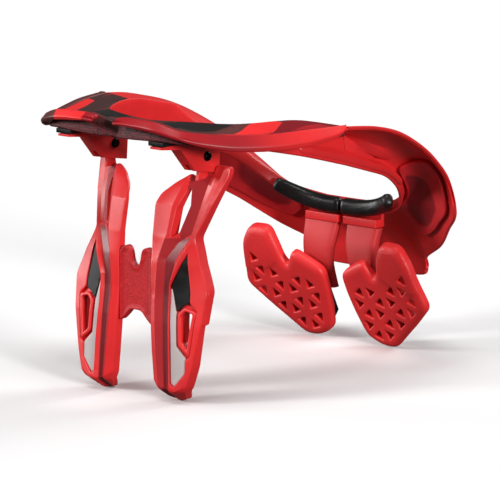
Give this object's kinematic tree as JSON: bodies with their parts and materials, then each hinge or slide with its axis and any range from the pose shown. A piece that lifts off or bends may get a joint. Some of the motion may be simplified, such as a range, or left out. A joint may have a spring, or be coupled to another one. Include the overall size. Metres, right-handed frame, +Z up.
{
  "type": "neck brace",
  "caption": "Rigid motocross neck brace: an open collar with chest struts in front, a wide back shell, neck pads and pierced shoulder-blade pads.",
  "frame": {"origin": "under the middle of the brace as it stands, on the plane of its feet", "axes": "+X to the wearer's left, +Y to the wearer's back, +Z up"},
  "size_m": [0.2402, 0.3097, 0.2061],
  "materials": {
    "deck_graphic": "satin moulded plastic with a faceted camouflage of reds, maroon and black",
    "red_bumper": "satin moulded plastic",
    "red_shell": "satin moulded plastic",
    "dark_red_liner": "satin moulded plastic with a blank label field",
    "black_foam": "skinned black foam",
    "black_plastic": "satin black",
    "matte_red_arm": "matt flexible plastic",
    "red_strut": "satin moulded plastic",
    "grey_inlay": "satin pale grey",
    "black_steel": "blackened steel button head"
  },
  "bodies": {
    "collar": {"front_collar": "deck_graphic", "collar_bumper_left": "red_bumper", "collar_bumper_right": "red_bumper", "rear_shell": "red_shell", "liner_left": "dark_red_liner", "liner_right": "dark_red_liner", "side_tongue_left": "red_shell", "side_tongue_right": "red_shell", "neck_pad_left": "black_foam", "neck_pad_right": "black_foam", "scapula_pad_left": "red_shell", "scapula_pad_right": "red_shell", "pad_backing_left": "black_plastic", "pad_backing_right": "black_plastic", "wing_bracket_left": "red_shell", "wing_bracket_right": "red_shell", "wing_arm_left": "matte_red_arm", "wing_arm_right": "matte_red_arm", "hinge_bracket_left": "red_shell", "hinge_bracket_right": "red_shell", "hinge_bolt_left": "black_steel", "hinge_bolt_right": "black_steel", "slide_plate_left": "black_plastic", "slide_plate_right": "black_plastic"},
    "chest_frame": {"strut_left": "red_strut", "strut_right": "red_strut", "inlay_black_left": "black_plastic", "inlay_black_right": "black_plastic", "inlay_white_left": "grey_inlay", "inlay_white_right": "grey_inlay", "slot_ring_left": "red_strut", "slot_ring_right": "red_strut", "bridge": "red_strut"}
  },
  "joints": [
    {"name": "strut_tilt", "type": "hinge", "parent": "collar", "child": "chest_frame", "pos_m": [0, -0.09665, 0.175], "axis": [1, 0, 0], "range_deg": [-3, 12]}
  ]
}
